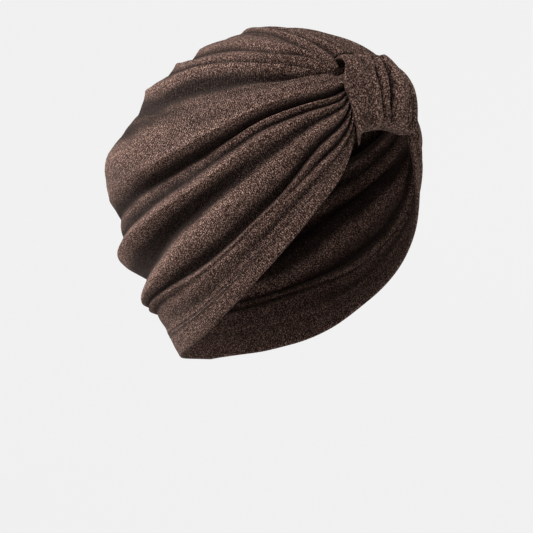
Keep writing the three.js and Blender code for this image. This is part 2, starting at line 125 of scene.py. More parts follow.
@dataclass(frozen=True)
class HeadForm:
    """The smooth form under the cloth: flat ovals below its widest level and a dome above it."""

    half_width: float = 78 * MM
    front: float = 94 * MM
    back: float = 100 * MM
    crown_rise: float = 86 * MM
    lower_fall: float = 150 * MM
    oval_power: float = 2.35
    centre_z: float = -84 * MM
    # Under the widest level: fall as a share of lower_fall, then shares of the widest oval
    fall_rows: tuple = (0, 0.2, 0.4, 0.6, 0.8, 1)
    front_rows: tuple = (1, 0.99, 0.957, 0.872, 0.723, 0.574)
    back_rows: tuple = (1, 0.97, 0.89, 0.69, 0.49, 0.36)
    width_rows: tuple = (1, 0.987, 0.942, 0.82, 0.68, 0.564)
    # How square the dome is, by turn from the front as a share of half a turn
    turn_rows: tuple = (0, 0.25, 0.5, 0.75, 1)
    power_rows: tuple = (2.3, 2.15, 1.93, 1.62, 1.62)

    def value(self, points: np.ndarray) -> np.ndarray:
        """1 on the form and less inside it.

        Args:
            points: x, forward and level from the form's centre, in the last axis.
        Returns:
            One value a point.
        """
        x, forward, level = np.abs(points[..., 0]), points[..., 1], points[..., 2]
        fall = np.maximum(-level, 0) / self.lower_fall
        front = self.front * smooth_rows(self.fall_rows, self.front_rows)(fall)
        back = self.back * smooth_rows(self.fall_rows, self.back_rows)(fall)
        width = self.half_width * smooth_rows(self.fall_rows, self.width_rows)(fall)
        length = np.where(forward > 0, front, back)
        p = self.oval_power
        oval = ((x / width) ** p + (np.abs(forward) / length) ** p) ** (1 / p)
        power = smooth_rows(self.turn_rows, self.power_rows)(np.arctan2(x, forward) / math.pi)
        dome = (oval**power + (np.maximum(level, 0) / self.crown_rise) ** power) ** (1 / power)
        return np.where(level > 0, dome, oval)

    def meet(self, direction: np.ndarray, start: np.ndarray) -> np.ndarray:
        """Where rays from inside the form meet it.

        Args:
            direction: the rays' directions.
            start: where they start.
        Returns:
            The points on the form.
        """
        far_out = np.full(direction.shape[:-1], 3 * self.back)
        reach = where_one(lambda r: self.value(start + direction * r[..., None]), far_out)
        return start + direction * reach[..., None]

    def normal(self, points: np.ndarray) -> np.ndarray:
        """The form's outward direction at each point."""
        step = 0.5 * MM
        slopes = [self.value(points + step * axis) - self.value(points - step * axis) for axis in np.eye(3)]
        out = np.stack(slopes, axis=-1)
        return out / np.linalg.norm(out, axis=-1, keepdims=True)


@dataclass(frozen=True)
class Hem:
    """The turban's lower edge, high over the brow and low at the nape."""

    front_rise: float = 32 * MM
    back_fall: float = 121 * MM
    # Turn from the front as a share of half a turn, and fall as a share of the whole fall
    turn_rows: tuple = (0, 0.05, 0.084, 0.0925, 0.098, 0.11, 0.126, 0.167, 0.222, 0.278, 0.361, 0.5, 0.639, 0.778, 1)
    fall_rows: tuple = (0, 0.01, 0.039, 0.106, 0.139, 0.192, 0.254, 0.356, 0.49, 0.607, 0.739, 0.876, 0.948, 0.984, 1)

    def points(self, form: HeadForm, turn: np.ndarray) -> np.ndarray:
        """The hem's points on a form, by turn from the front."""
        fall = (self.front_rise + self.back_fall) * smooth_rows(self.turn_rows, self.fall_rows)(turn / math.pi)
        zero = np.zeros_like(turn)
        direction = np.stack([np.sin(turn), np.cos(turn), zero], axis=-1)
        return form.meet(direction, np.stack([zero, zero, self.front_rise - fall], axis=-1))

    def pace(self, form: HeadForm) -> tuple[float, Curve]:
        """The hem's length on one side, and its turn by share of that length."""
        turns = np.linspace(0, math.pi, 361)
        steps = np.linalg.norm(np.diff(self.points(form, turns), axis=0), axis=-1)
        lengths = np.append(0, np.cumsum(steps))
        return float(lengths[-1]), smooth_rows(lengths / lengths[-1], turns)


@dataclass(frozen=True)
class Fold:
    """One fold line, at six stations from the knot to the middle of the back.

    at: place at each station, from -1 in the middle of the crown panel, by 0 at its edge, to 1 at the hem.
    height: height over the form at each station, as a share of the folds' height.
    crisp: 0 for a round line and 1 for a sharp one.
    steps: mesh steps to the next line.
    """

    name: str
    at: tuple
    height: tuple
    crisp: float = 0.3
    steps: int = 7


FOLDS = (
    Fold("crown line", (-1, -1, -1, -1, -1, -1), (0, 0, 0, 0, 0.2, 0.2), 0, 5),
    Fold("first pleat", (-0.84, -0.82, -0.8, -0.8, -0.8, -0.8), (0.45, 0.4, 0.2, 0.1, 0.2, 0.2), 0.4, 4),
    Fold("first pleat crease", (-0.76, -0.74, -0.72, -0.72, -0.72, -0.72), (0.1, 0.1, 0.1, 0.1, 0.2, 0.2), 0.8, 5),
    Fold("crown ridge", (-0.62, -0.58, -0.58, -0.58, -0.58, -0.58), (0.6, 0.55, 0.4, 0.3, 0.2, 0.2), 0.6, 5),
    Fold("crown crease", (-0.42, -0.4, -0.38, -0.38, -0.38, -0.38), (0, 0, 0, 0.1, 0.2, 0.2), 0.9, 6),
    Fold("second ridge", (-0.2, -0.2, -0.16, -0.16, -0.16, -0.16), (0.6, 0.6, 0.55, 0.4, 0.2, 0.2), 0.7, 6),
    Fold("panel edge", (0, 0, 0, 0, 0, 0), (0.1, 0.1, 0.1, 0.15, 0.2, 0.2), 0.8, 6),
    Fold("third ridge", (0.025, 0.06, 0.155, 0.12, 0.12, 0.15), (0.4, 0.5, 0.6, 0.5, 0.5, 0.5), 0.6, 6),
    Fold("third crease", (0.045, 0.095, 0.178, 0.155, 0.155, 0.195), (0.05, 0.05, 0.2, 0.2, 0.15, 0.1), 0.8, 6),
    Fold("fourth ridge", (0.07, 0.15, 0.205, 0.204, 0.199, 0.25), (0.4, 0.55, 0.66, 0.74, 0.6, 0.5), 0.9, 6),
    Fold("fourth crease", (0.09, 0.222, 0.247, 0.222, 0.235, 0.29), (0.05, 0, 0.3, 0.45, 0.35, 0.2), 0.8, 6),
    Fold("thin fold", (0.112, 0.237, 0.26, 0.24, 0.305, 0.35), (0.3, 0.4, 0.8, 0.85, 0.76, 0.6), 0.9),
    Fold("upper crease", (0.135, 0.252, 0.319, 0.302, 0.37, 0.41), (-0.1, -0.4, -0.4, -0.25, 0.1, 0.1), 0.4),
    Fold("big fold top", (0.165, 0.272, 0.345, 0.363, 0.43, 0.47), (0.5, 0.45, 0.4, 0.45, 0.35, 0.4), 0.3, 8),
    Fold("big fold", (0.25, 0.335, 0.39, 0.44, 0.53, 0.57), (0.8, 1, 1, 0.9, 0.95, 0.9), 0, 8),
    Fold("big fold edge", (0.34, 0.396, 0.434, 0.515, 0.6, 0.65), (0.9, 1.15, 1.2, 1.1, 0.75, 0.8), 0.5),
    Fold("deep crease", (0.37, 0.416, 0.456, 0.544, 0.65, 0.7), (-1, -1, -0.9, -0.6, 0.1, 0.1), 0.6),
    Fold("narrow fold", (0.465, 0.456, 0.476, 0.575, 0.67, 0.72), (0.4, 0.6, 0.5, 0, 0.22, 0.2), 0.3),
    Fold("narrow crease", (0.505, 0.484, 0.506, 0.61, 0.71, 0.755), (-0.3, -0.3, -0.1, 0.2, 0.1, 0.1), 0.9),
    Fold("middle fold", (0.545, 0.512, 0.536, 0.655, 0.742, 0.79), (0.5, 0.7, 0.9, 0.95, 0.9, 0.8), 0.6),
    Fold("broad valley", (0.595, 0.55, 0.604, 0.702, 0.825, 0.845), (0, 0.1, 0.05, -0.35, -0.5, -0.3), 0.2, 8),
    Fold("wide fold", (0.645, 0.59, 0.665, 0.785, 0.872, 0.88), (0.6, 0.8, 0.9, 0.8, 0.72, 0.6), 0.1, 8),
    Fold("lower crease", (0.7, 0.665, 0.787, 0.862, 0.885, 0.893), (-0.6, -0.8, -0.6, -0.1, 0.3, 0.3), 0.9),
    Fold("lower fold", (0.765, 0.698, 0.806, 0.877, 0.893, 0.903), (0.4, 0.6, 0.6, 0.6, 0.5, 0.45), 0.5),
    Fold("short crease", (0.82, 0.76, 0.823, 0.886, 0.905, 0.915), (-0.3, -0.2, 0.45, 0.5, 0.1, 0.1), 0.7, 6),
    Fold("last fold", (0.86, 0.79, 0.84, 0.895, 0.918, 0.927), (0.5, 0.6, 0.66, 0.56, 0.15, 0.15), 0.3, 6),
)


@dataclass(frozen=True)
class HemRow:
    """One line of the hem's strip, by its distance in from the edge where the strip is widest.

    height: height over the strip. wall: thickness of the cloth there.
    """

    name: str
    distance: float
    height: float
    wall: float
    crisp: float = 0.3
    steps: int = 3


HEM_ROWS = (
    HemRow("dip over the seam", 21.5 * MM, -0.7 * MM, 1.6 * MM, 0, 5),
    HemRow("over the stitches", 17.0 * MM, 0.05 * MM, 1.6 * MM, 0.4),
    HemRow("upper stitches", 15.8 * MM, -0.42 * MM, 1.3 * MM, 0.9),
    HemRow("between the stitches", 14.6 * MM, 0.15 * MM, 2.2 * MM, 0.2),
    HemRow("lower stitches", 13.4 * MM, -0.42 * MM, 1.7 * MM, 0.9),
    HemRow("under the stitches", 12.2 * MM, 0.05 * MM, 2.2 * MM, 0.3, 5),
    HemRow("hem face", 6.5 * MM, 0.25 * MM, 2.4 * MM, 0, 5),
    HemRow("hem shoulder", 1.3 * MM, 0.05 * MM, 2.2 * MM, 0, 2),
    HemRow("hem bend", 0.45 * MM, -0.25 * MM, 1.6 * MM, 0.5, 2),
    HemRow("hem edge", 0, -0.75 * MM, 0.6 * MM, 0.5),
)


@dataclass(frozen=True)
class Drape:
    """How the cloth lies on the form: where each fold line runs and how high it stands."""

    form: HeadForm = HeadForm()
    hem: Hem = Hem()
    fold_height: float = 5 * MM
    wall: float = 1.6 * MM
    strip_widths: tuple = (2.2 * MM, 10.5 * MM, 14.6 * MM, 14.6 * MM, 14.6 * MM, 14.6 * MM)
    strip_heights: tuple = (1.4 * MM, 1.7 * MM, 1.7 * MM, 1.7 * MM, -0.6 * MM, 0.2 * MM)
    knot_lift: float = 3 * MM
    gather_top_angle: float = 51.5
    panel_front_angle: float = 50
    panel_back_angle: float = -14
    panel_half_angle: float = 20.07
    band_half_width: float = 28 * MM
    gather_tightness: float = 0.9
    opening_beyond_band: float = 0.004
    # The opening's rim is scooped back where the band passes, and closes on the gathers beside it
    scoop_angle: float = 4.0
    scoop_edge: float = 0.665
    scoop_side: float = 0.05
    scoop_reach: float = 0.09
    closed_reach: float = 0.036
    closed_gap_angle: float = 0.3
    rim_height: float = 0.3 * MM
    lift_beyond_band: float = 0.25
    stations_beyond_knot: tuple = (0.22, 0.42, 0.66, 0.84, 1.0)
    # Towards the back the folds grow deeper about their middle height, from this share along
    back_deepening: float = 0.85
    deepening_start: float = 0.45
    deepening_reach: float = 0.35
    middle_height: float = 0.5

    @cached_property
    def gather_share(self) -> float:
        """Where the band holds the loops, as a share of the way from the knot to the back."""
        return self.gather_tightness * self.band_half_width / self.hem.pace(self.form)[0]

    @cached_property
    def opening_share(self) -> float:
        """Where the opening behind the knot ends."""
        return self.gather_share + self.opening_beyond_band

    @cached_property
    def stations(self) -> tuple:
        """Where the fold lines are given."""
        return (self.gather_share, *self.stations_beyond_knot)

    def panel_edge(self, along: np.ndarray) -> tuple[np.ndarray, np.ndarray]:
        """The crown panel's edge on the flat map, in degrees to the left and to the front."""
        quarter = math.pi / 2
        by_knot = quarter * np.minimum(along / self.gather_share, 1)
        beyond = quarter * np.maximum(along - self.gather_share, 0) / (1 - self.gather_share)
        left = self.panel_half_angle * np.sin(by_knot) * np.cos(beyond)
        front_part = lerp(self.panel_front_angle, self.gather_top_angle, np.cos(by_knot))
        rear_part = lerp(self.panel_front_angle, self.panel_back_angle, np.sin(beyond))
        return left, np.where(along < self.gather_share, front_part, rear_part)

    def base(self, along: np.ndarray, down: np.ndarray) -> np.ndarray:
        """Points of the form on the wearer's left.

        Args:
            along: shares of the way from the knot to the middle of the back.
            down: places as in FOLDS.
        Returns:
            x, forward and level of each point.
        """
        _, turn_at = self.hem.pace(self.form)
        edge_of_hem = self.hem.points(self.form, turn_at(along))
        x, forward, level = np.moveaxis(edge_of_hem, -1, 0)
        hem_angle = np.arctan2(np.hypot(x, forward), level)
        hem_heading = np.arctan2(x, forward)
        edge_left, edge_front = (np.radians(angle) for angle in self.panel_edge(along))
        below, in_panel = np.maximum(down, 0), 1 + np.minimum(down, 0)
        left = in_panel * lerp(edge_left, hem_angle * np.sin(hem_heading), below)
        front = lerp(edge_front, hem_angle * np.cos(hem_heading), below)
        beside, scoop = self.rim(along, down)
        rise_of_gathers = self.gather_top_angle - self.panel_front_angle
        closed = self.panel_front_angle - self.closed_gap_angle + rise_of_gathers * np.sqrt(1 - in_panel**2)
        front = lerp(front, np.radians(closed), beside) - math.radians(self.scoop_angle) * scoop
        angle, heading = np.hypot(left, front), np.arctan2(left, front)
        reach = np.sin(angle)
        direction = np.stack([reach * np.sin(heading), reach * np.cos(heading), np.cos(angle)], axis=-1)
        return self.form.meet(direction, np.zeros_like(direction))

    def rim(self, along: np.ndarray, down: np.ndarray) -> tuple[np.ndarray, np.ndarray]:
        """How near a place of the crown panel is to the opening's rim, beside the band and behind it."""
        beyond, across = along - self.opening_share, 1 + down
        aside = ease((across - self.scoop_edge) / self.scoop_side)
        near = (down < 0) * (1 - ease(beyond / self.closed_reach))
        behind = (down < 0) * (1 - ease(beyond / self.scoop_reach)) * (1 - aside)
        return near * aside, behind

    def lift(self, along: np.ndarray, down: np.ndarray) -> np.ndarray:
        """How far the knot lifts the cloth off the forehead, most at its top."""
        fade = 1 - ease((along - self.gather_share) / self.lift_beyond_band)
        return self.knot_lift * fade * (1 - np.maximum(down, 0))

    def place(self, along: np.ndarray, down: np.ndarray, height: np.ndarray) -> np.ndarray:
        """Points of the cloth on the wearer's left, at heights over the form, in the turban's frame."""
        base = self.base(along, down)
        out = (height + self.lift(along, down))[..., None]
        x, forward, level = np.moveaxis(base + self.form.normal(base) * out, -1, 0)
        return np.stack([x, -forward, level + self.form.centre_z], axis=-1)

    def hem_place(self, along: np.ndarray, distance: float) -> np.ndarray:
        """Places down at a distance in from the hem's edge, for the strip's full width."""
        near = 0.96
        edge, inside = self.base(along, np.ones_like(along)), self.base(along, np.full_like(along, near))
        length = np.linalg.norm(edge - inside, axis=-1)
        narrowing = smooth_rows(self.stations, self.strip_widths)(along) / self.strip_widths[-1]
        return 1 - distance * narrowing * (1 - near) / length

    def lines(self, along: np.ndarray) -> list[tuple]:
        """All lines down the cloth: place and height at each share along, crispness, steps and wall."""
        deeper = self.back_deepening * ease((along - self.deepening_start) / self.deepening_reach)
        found = []
        for fold in FOLDS:
            place = smooth_rows(self.stations, fold.at)(along)
            height = smooth_rows(self.stations, fold.height)(along)
            height = self.fold_height * (height + deeper * (height - self.middle_height))
            found.append((place, height, fold.crisp, fold.steps, self.wall))
        for row in HEM_ROWS:
            height = smooth_rows(self.stations, self.strip_heights)(along) + row.height
            found.append((self.hem_place(along, row.distance), height, row.crisp, row.steps, row.wall))
        return found

    def profile(self, along: np.ndarray) -> tuple[np.ndarray, np.ndarray, np.ndarray]:
        """The folds' section at each share along.

        Args:
            along: shares of the way from the knot to the middle of the back.
        Returns:
            Place down, height over the form and thickness of the cloth, one row a share along.
        """
        lines = self.lines(along)
        downs, ups, walls = [], [], []
        for here, there in zip(lines, lines[1:]):
            place, height, crisp, steps, wall = here
            next_place, next_height, next_crisp, _, next_wall = there
            t = np.linspace(0, 1, steps, endpoint=False)[None, :]
            rise = crisp_step(t, CRISP_SLOPE * crisp, CRISP_SLOPE * next_crisp)
            downs.append(lerp(place[:, None], next_place[:, None], t))
            ups.append(lerp(height[:, None], next_height[:, None], rise))
            walls.append(np.broadcast_to(lerp(wall, next_wall, t), downs[-1].shape))
        place, height, _, _, wall = lines[-1]
        downs.append(place[:, None])
        ups.append(height[:, None])
        walls.append(np.full((len(along), 1), wall))
        return np.hstack(downs), np.hstack(ups), np.hstack(walls)


def hex_colour(code: str) -> tuple[float, float, float, float]:
    """A colour written as sRGB hex, as Blender's linear values.

    Args:
        code: such as "#4a3730".
    Returns:
        Linear red, green, blue and alpha.
    """
    parts = [int(code[i : i + 2], 16) / 255 for i in (1, 3, 5)]
    linear = [c / 12.92 if c <= 0.04045 else ((c + 0.055) / 1.055) ** 2.4 for c in parts]
    return (*linear, 1.0)


def add_node(tree: bpy.types.NodeTree, kind: str, links: dict | None = None, **settings: Any) -> bpy.types.Node:
    """Adds a node with its settings and links.

    Args:
        tree: the material's node tree.
        kind: the node's type.
        links: input name or number to an output socket, or to a constant.
        settings: the node's own properties.
    Returns:
        The node.
    """
    node = tree.nodes.new(kind)
    for key, value in settings.items():
        setattr(node, key, value)
    for key, value in (links or {}).items():
        socket = node.inputs[key]
        if isinstance(value, bpy.types.NodeSocket):
            tree.links.new(value, socket)
        else:
            socket.default_value = value
    return node


@dataclass(frozen=True)
class HeatherJersey:
    """Brown heather rib jersey: cotton spun from light and dark fibres, knitted, brushed and matt.

    The light and dark fibres show as short flecks, and the ribs run across the folds. The brushed face's sheen gives
    the folds a soft pale rim, and the colour carries painted shade deep in the creases and a painted highlight on sharp
    crests.
    """

    name: str = "heather_rib_jersey"
    ground: str = "#2e1e19"
    light_fleck: str = "#8c7267"
    dark_fleck: str = "#080403"
    # The real flecks are about 0.3 mm wide. They are drawn nearly three times as wide, so that they show.
    fleck_size: float = 0.8 * MM
    # A rib and its furrow are about 0.9 mm on real jersey, and are drawn a little coarser too.
    rib_pitch: float = 1.25 * MM
    rib_depth: float = 0.22 * MM
    # How far the ribs' colour darkens in their furrows and lightens on their tops: painted shade and painted light,
    # besides their bump
    rib_painted_shade: float = 0.42
    # Noise levels at which a fleck starts and is full, and how far off the dark flecks' noise is read
    light_levels: tuple = (0.47, 0.64)
    dark_levels: tuple = (0.5, 0.64)
    dark_shift: float = 0.31
    # The cloth's tone: in its soft clouds, which vary at random, as painted shade deep in a crease and as a painted
    # highlight on a sharp crest
    cloud_size: float = 14 * MM
    cloud_tones: tuple = (0.88, 1.1)
    painted_crease_shade: float = 0.16
    painted_crest_highlight: float = 1.4
    fleck_height: float = 0.6
    roughness: float = 0.92
    gloss: float = 0.04
    sheen: float = 0.1
    sheen_roughness: float = 0.45
    sheen_tint: str = "#c4aaa0"

    def material(self) -> bpy.types.Material:
        """The jersey's material. Its flecks use object coordinates, its ribs the cloth's own map, and its painted
        crease shade and crest highlight a value stored on the mesh.
        """
        material = bpy.data.materials.new(self.name)
        material.use_nodes = True
        tree = material.node_tree
        shader = tree.nodes["Principled BSDF"]
        place = add_node(tree, "ShaderNodeTexCoord").outputs["Object"]
        cloth = add_node(tree, "ShaderNodeUVMap", uv_map="cloth").outputs["UV"]
        light = self._flecks(tree, place, 0, *self.light_levels)
        dark = self._flecks(tree, place, self.dark_shift, *self.dark_levels)
        colour = self._mix(tree, light, hex_colour(self.ground), hex_colour(self.light_fleck))
        colour = self._mix(tree, dark, colour, hex_colour(self.dark_fleck))
        cloud = add_node(
            tree, "ShaderNodeTexNoise", {"Vector": place, "Scale": 1 / self.cloud_size, "Detail": 3}
        ).outputs["Fac"]
        # The folds' painted shade and painted highlight, stored on the mesh's vertices
        painted_fold_shade = add_node(tree, "ShaderNodeAttribute", attribute_name="painted_fold_shade").outputs["Fac"]
        # A wave of scale 1 repeats every pi / 10
        rib_scale = math.pi / 10 / self.rib_pitch
        ribs = add_node(
            tree,
            "ShaderNodeTexWave",
            {"Vector": cloth, "Scale": rib_scale, "Distortion": 1.5, "Detail": 1, "Detail Scale": 2},
            bands_direction="X",
        ).outputs["Fac"]
        tone = self._ramp(tree, cloud, 0.3, 0.7, *self.cloud_tones)
        for share in (
            # Painted shade deep in the creases, painted highlight on the crests, then the ribs' painted shade and light
            self._ramp(tree, painted_fold_shade, -1, 0, self.painted_crease_shade, 1),
            self._ramp(tree, painted_fold_shade, 0, 1, 1, self.painted_crest_highlight),
            self._ramp(tree, ribs, 0, 1, 1 - self.rib_painted_shade, 1 + self.rib_painted_shade),
        ):
            tone = add_node(tree, "ShaderNodeMath", {0: tone, 1: share}, operation="MULTIPLY").outputs[0]
        shaded = add_node(tree, "ShaderNodeVectorMath", {0: colour, "Scale": tone}, operation="SCALE")
        tree.links.new(shaded.outputs["Vector"], shader.inputs["Base Color"])
        grain = add_node(
            tree, "ShaderNodeMath", {0: light, 1: self.fleck_height, 2: ribs}, operation="MULTIPLY_ADD"
        ).outputs[0]
        bump = add_node(tree, "ShaderNodeBump", {"Height": grain, "Distance": self.rib_depth}).outputs["Normal"]
        tree.links.new(bump, shader.inputs["Normal"])
        shader.inputs["Roughness"].default_value = self.roughness
        shader.inputs["Specular IOR Level"].default_value = self.gloss
        shader.inputs["Sheen Weight"].default_value = self.sheen
        shader.inputs["Sheen Roughness"].default_value = self.sheen_roughness
        shader.inputs["Sheen Tint"].default_value = hex_colour(self.sheen_tint)
        return material

    def _flecks(self, tree: bpy.types.NodeTree, place: Any, shift: float, low: float, high: float) -> Any:
        """Flecks of one tone, 1 in a fleck and 0 between.

        Args:
            tree: the material's nodes.
            place: coordinates in metres.
            shift: distance to where this tone's noise is read, so that the tones differ.
            low, high: noise levels at which a fleck starts and is full.
        Returns:
            The socket.
        """
        moved = add_node(tree, "ShaderNodeVectorMath", {0: place, 1: (shift, shift, shift)}, operation="ADD").outputs[0]
        noise = add_node(
            tree, "ShaderNodeTexNoise", {"Vector": moved, "Scale": 1 / self.fleck_size, "Detail": 2, "Roughness": 0.65}
        ).outputs["Fac"]
        return self._ramp(tree, noise, low, high, 0, 1)

    @staticmethod
    def _mix(tree: bpy.types.NodeTree, share: Any, first: Any, second: Any) -> Any:
        """The colour a share of the way from the first to the second."""
        return add_node(
            tree, "ShaderNodeMix", {"Factor": share, 6: first, 7: second}, data_type="RGBA"
        ).outputs[2]

    @staticmethod
    def _ramp(tree: bpy.types.NodeTree, value: Any, low: float, high: float, first: float, last: float) -> Any:
        """The value's place from low to high, held and carried over to first to last."""
        return add_node(
            tree,
            "ShaderNodeMapRange",
            {"Value": value, "From Min": low, "From Max": high, "To Min": first, "To Max": last},
        ).outputs["Result"]


@dataclass(frozen=True)
class SewingThread:
    """Spun polyester thread, a tone darker than the jersey, with a faint gloss."""

    name: str = "dark_sewing_thread"
    colour: str = "#2a1c18"
    twist: float = 0.5 * MM
    tones: tuple = (0.7, 1.5)
    roughness: float = 0.7

    def material(self) -> bpy.types.Material:
        """The thread's material, with its twist as fine bands."""
        material = bpy.data.materials.new(self.name)
        material.use_nodes = True
        tree = material.node_tree
        shader = tree.nodes["Principled BSDF"]
        place = add_node(tree, "ShaderNodeTexCoord").outputs["Object"]
        noise = add_node(tree, "ShaderNodeTexNoise", {"Vector": place, "Scale": 1 / self.twist}).outputs["Fac"]
        low, high = self.tones
        ramp = add_node(tree, "ShaderNodeMapRange", {"Value": noise, "To Min": low, "To Max": high}).outputs["Result"]
        base = hex_colour(self.colour)[:3]
        colour = add_node(tree, "ShaderNodeVectorMath", {0: base, "Scale": ramp}, operation="SCALE")
        tree.links.new(colour.outputs["Vector"], shader.inputs["Base Color"])
        shader.inputs["Roughness"].default_value = self.roughness
        return material


def painted_crease_shade(height: np.ndarray, reach: int, deep: float, ends: str) -> np.ndarray:
    """Painted shade and painted highlight for the folds' colour, from -1, the darkest painted shade deep in a crease,
    to 1, the brightest painted highlight on a sharp crest.

    Args:
        height: heights of the cloth, one row a section.
        reach: steps to either side that a place is compared with.
        deep: depth of a crease whose painted shade is as dark as can be.
        ends: how a section goes on past its ends, as numpy's pad names it.
    Returns:
        One tone a place.
    """
    weights = np.hanning(2 * reach + 3)[1:-1]
    padded = np.pad(height, ((0, 0), (reach, reach)), mode=ends)
    around = [padded[:, k : k + height.shape[1]] for k in range(2 * reach + 1)]
    mean = sum(weight * near for weight, near in zip(weights / weights.sum(), around))
    # Painted highlight where a place stands over the mean around it, painted shade where it lies below it and below the
    # nearest crest
    below_crest = np.clip((np.max(around, axis=0) - height) / deep, 0, 1)
    full_tone, share_below = 0.35 * deep, 0.6
    return np.clip((height - mean) / full_tone - share_below * below_crest, -1, 1)


def finish_piece(mesh: bmesh.types.BMesh, name: str, material: bpy.types.Material) -> bpy.types.Object:
    """Turns a bmesh into a smooth-shaded object at the origin.

    Args:
        mesh: the bmesh, which is freed.
        name: the piece's name.
        material: its finish.
    Returns:
        The object.
    """
    data = bpy.data.meshes.new(name)
    mesh.to_mesh(data)
    mesh.free()
    data.materials.append(material)
    data.shade_smooth()
    piece = bpy.data.objects.new(name, data)
    bpy.context.scene.collection.objects.link(piece)
    return piece


@dataclass
class DrapedWrap:
    """The draped shell of cloth: its crown, its two pleated sides and its turned hem."""

    drape: Drape = Drape()
    opening_steps: int = 16
    side_steps: int = 92
    # Steps to either side that the folds' painted shade and highlight compare with
    painted_shade_reach: int = 9
    wrinkles_across: float = 26
    wrinkle_heights: tuple = (0.12 * MM, 0.22 * MM, 0.25 * MM)

    def alongs(self) -> np.ndarray:
        """Shares along a loop, with a step at the end of the opening behind the knot."""
        opening = np.linspace(0, self.drape.opening_share, self.opening_steps, endpoint=False)
        return np.append(opening, np.linspace(self.drape.opening_share, 1, self.side_steps + 1))

    def build(self, finish: HeatherJersey) -> bpy.types.Object:
        """Builds the shell and dresses it.

        Args:
            finish: the jersey.
        Returns:
            The piece.
        """
        alongs = self.alongs()
        down, height, wall = self.drape.profile(alongs)
        along = np.broadcast_to(alongs[:, None], down.shape)
        height = height + self.wrinkles(along, down)
        height = lerp(height, self.drape.rim_height, self.drape.rim(along, down)[0])
        outer = self.drape.place(along, down, height)
        inner = self.drape.place(along, down, height - wall)
        # Painted shade in the creases and a painted highlight on the crests, from the cloth's heights, for the jersey's
        # colour
        painted_fold_shade = painted_crease_shade(height, self.painted_shade_reach, self.drape.fold_height, "edge")
        forth = np.linalg.norm(np.diff(outer, axis=0), axis=-1)
        cloth_u = np.vstack([np.zeros(outer.shape[1]), np.cumsum(forth, axis=0)])
        across = np.linalg.norm(np.diff(outer, axis=1), axis=-1)
        cloth_v = np.hstack([np.zeros((len(alongs), 1)), np.cumsum(across[:, ::-1], axis=1)])[:, ::-1]
        mesh = self._sheet(outer)
        step = mesh.verts.layers.int["step"]
        rows = down.shape[1]
        copy = bmesh.ops.extrude_face_region(mesh, geom=mesh.faces[:], use_keep_orig=True)["geom"]
        outside = {v for v in copy if isinstance(v, bmesh.types.BMVert)}
        bmesh.ops.recalc_face_normals(mesh, faces=mesh.faces[:])
        for v in mesh.verts:
            if v not in outside:
                x, y, z = inner[divmod(v[step], rows)]
                v.co = (math.copysign(x, v.co.x) if abs(v.co.x) > SAME_PLACE else 0, y, z)
        shade = mesh.verts.layers.float.new("painted_fold_shade")
        uv = mesh.loops.layers.uv.new("cloth")
        for v in mesh.verts:
            v[shade] = painted_fold_shade[divmod(v[step], rows)]
        for face in mesh.faces:
            side = 1 if face.calc_center_median().x > 0 else -1
            for loop in face.loops:
                place = divmod(loop.vert[step], rows)
                loop[uv].uv = (side * cloth_u[place], cloth_v[place])
        return finish_piece(mesh, "draped_wrap", finish.material())

    def _sheet(self, outer: np.ndarray) -> bmesh.types.BMesh:
        """The cloth's outer face, both sides joined, open at the hem and behind the knot.

        Args:
            outer: points of the left side, by step along and step down.
        Returns:
            The mesh, whose vertices keep their step number.
        """
        columns, rows = outer.shape[:2]
        names = [fold.name for fold in FOLDS]
        edge = sum(fold.steps for fold in FOLDS[: names.index("panel edge")])
        mesh = bmesh.new()
        step = mesh.verts.layers.int.new("step")
        for side in Side:
            grid = bmesh.ops.create_grid(mesh, x_segments=columns - 1, y_segments=rows - 1, size=1)["verts"]
            spare = []
            for v in grid:
                i = round((v.co.x + 1) / 2 * (columns - 1))
                j = round((v.co.y + 1) / 2 * (rows - 1))
                v[step] = i * rows + j
                if i < self.opening_steps and j < edge:
                    spare.append(v)
                x, y, z = outer[i, j]
                v.co = (side.value * x, y, z)
            faces = list({f for v in grid for f in v.link_faces})
            if side is Side.LEFT:
                bmesh.ops.reverse_faces(mesh, faces=faces)
            bmesh.ops.delete(mesh, geom=spare, context="VERTS")
        bmesh.ops.remove_doubles(mesh, verts=mesh.verts[:], dist=SAME_PLACE)
        return mesh

    def wrinkles(self, along: np.ndarray, down: np.ndarray) -> np.ndarray:
        """Small creases that run with the folds, as heights.

        Args:
            along: shares along the loops.
            down: places as in FOLDS.
        Returns:
            One height a place.
        """
        by_hem, by_knot, by_back, back_reach = 0.12, 0.1, 0.85, 0.14
        fade = ease((1 - down) / by_hem) * ease((along - self.drape.gather_share) / by_knot)
        # All rows of the crown panel meet at the back, where they need one height
        fade = fade * np.where(down < 0, 1 - ease((along - by_back) / back_reach), 1)
        # Waves whose numbers share no factor, so that no crease comes twice
        across = self.wrinkles_across * down
        small = np.sin(2 * math.pi * (across + 0.9 * np.sin(5 * along + 2)) + 3 * np.sin(4 * along))
        slow = np.sin(2 * math.pi * (0.37 * across + 1.3 * along) + 2.2 * np.sin(7 * along + 1))
        along_them = np.sin(9 * along + 4 * np.sin(6 * down)) * np.sin(14 * along + 3 * down)
        return fade * sum(high * wave for high, wave in zip(self.wrinkle_heights, (small, slow, along_them)))


@dataclass(frozen=True)
class BandFold:
    """One fold line of the band.

    top, front and foot: place across the band's front, -1 to 1 of its half width.
    back: the same behind the gathered cloth.
    swell: height over the band's flat cloth, as a share of its swell.
    crisp: 0 for a round line and 1 for a sharp one.
    """

    name: str
    top: float
    front: float
    foot: float
    back: float
    swell: float
    crisp: float = 0.2


